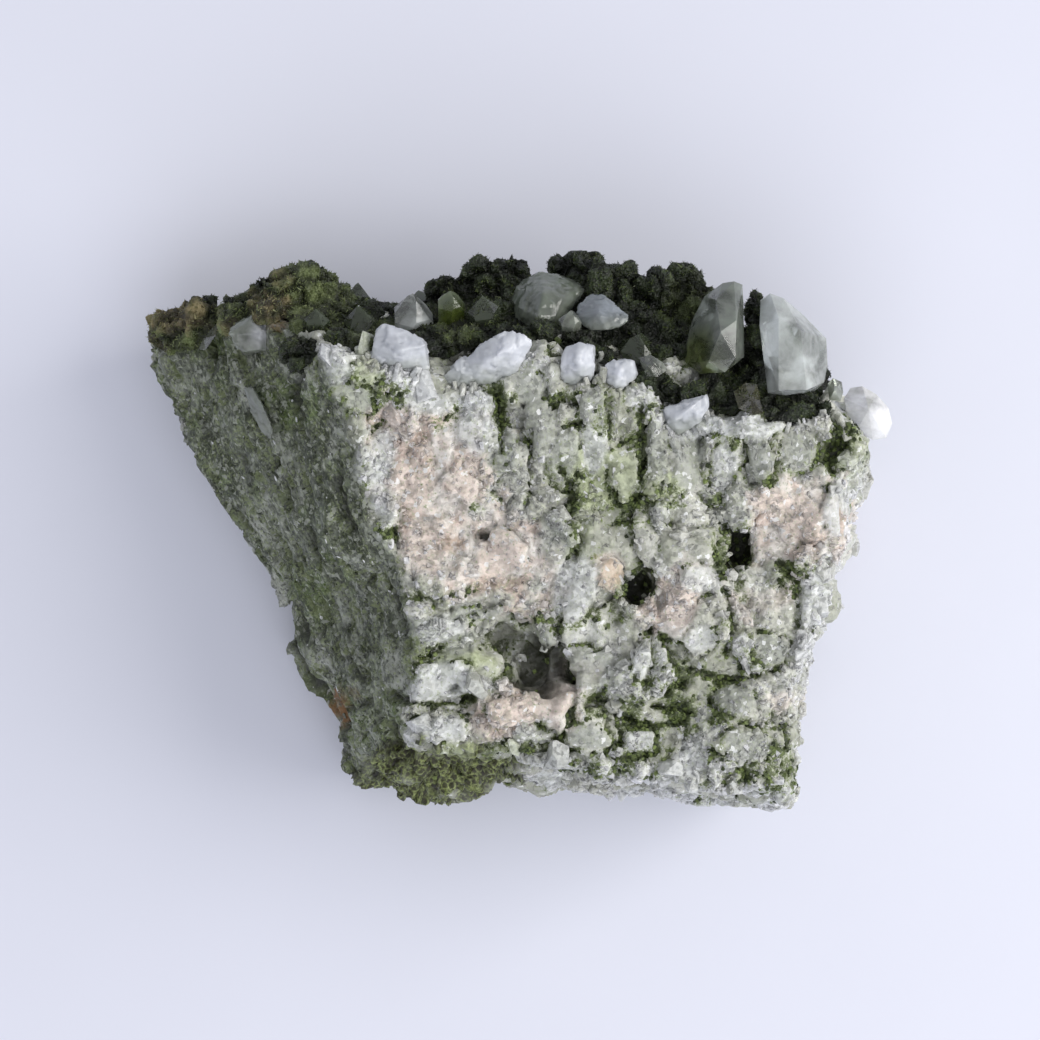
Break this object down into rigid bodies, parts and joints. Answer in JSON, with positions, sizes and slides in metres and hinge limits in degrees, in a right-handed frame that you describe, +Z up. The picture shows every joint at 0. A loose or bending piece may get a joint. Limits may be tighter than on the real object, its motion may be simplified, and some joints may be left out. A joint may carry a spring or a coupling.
{
  "type": "epidote and quartz crystal cluster",
  "caption": "Hand-sized mineral specimen: pale sugary quartz rock with a dark green epidote crust along one wall and clear and milky quartz crystals standing out of it.",
  "frame": {"origin": "middle of the bounding box on the plane that the specimen rests on", "axes": "+Z up out of the pale broken face, +X along the crystal wall to the right, +Y out of the wall that carries the crust and the crystals"},
  "size_m": [0.1042, 0.0776, 0.046],
  "materials": {
    "matrix": "rough broken quartz rock, white to grey-green",
    "epidote": "fine sparkling dark green crystal crust",
    "milky_quartz": "white translucent quartz with flat faces",
    "green_quartz": "smoky to green quartz, glassy",
    "clear_quartz": "clear glassy quartz with white veils"
  },
  "bodies": {
    "root": {"clear_flake_right": "clear_quartz", "clear_point_glint": "clear_quartz", "clear_point_left": "clear_quartz", "clear_point_right": "clear_quartz", "clear_point_rim": "clear_quartz", "clear_shard": "clear_quartz", "dark_point_left": "green_quartz", "dark_point_middle": "green_quartz", "dark_point_small": "green_quartz", "epidote_crust": "epidote", "flank_blade": "clear_quartz", "green_point": "green_quartz", "green_point_behind": "green_quartz", "grey_block_right": "clear_quartz", "grey_flake": "clear_quartz", "grey_point_back": "clear_quartz", "milky_block_left": "milky_quartz", "milky_block_middle": "milky_quartz", "milky_block_small": "milky_quartz", "milky_plate_middle": "milky_quartz", "milky_plate_right": "milky_quartz", "quartz_matrix": "matrix", "smoky_block": "green_quartz", "spur_blade": "clear_quartz", "spur_point": "clear_quartz", "wall_point_01": "clear_quartz", "wall_point_02": "clear_quartz", "wall_point_03": "clear_quartz", "wall_point_04": "clear_quartz", "wall_point_05": "clear_quartz", "wall_point_06": "clear_quartz", "wall_point_07": "clear_quartz", "wall_point_08": "clear_quartz", "wall_point_09": "clear_quartz", "wall_point_10": "clear_quartz", "wall_point_11": "clear_quartz", "wall_point_12": "clear_quartz", "wall_point_13": "clear_quartz", "wall_point_14": "clear_quartz", "wall_point_15": "clear_quartz", "wall_point_16": "clear_quartz"}
  },
  "joints": []
}
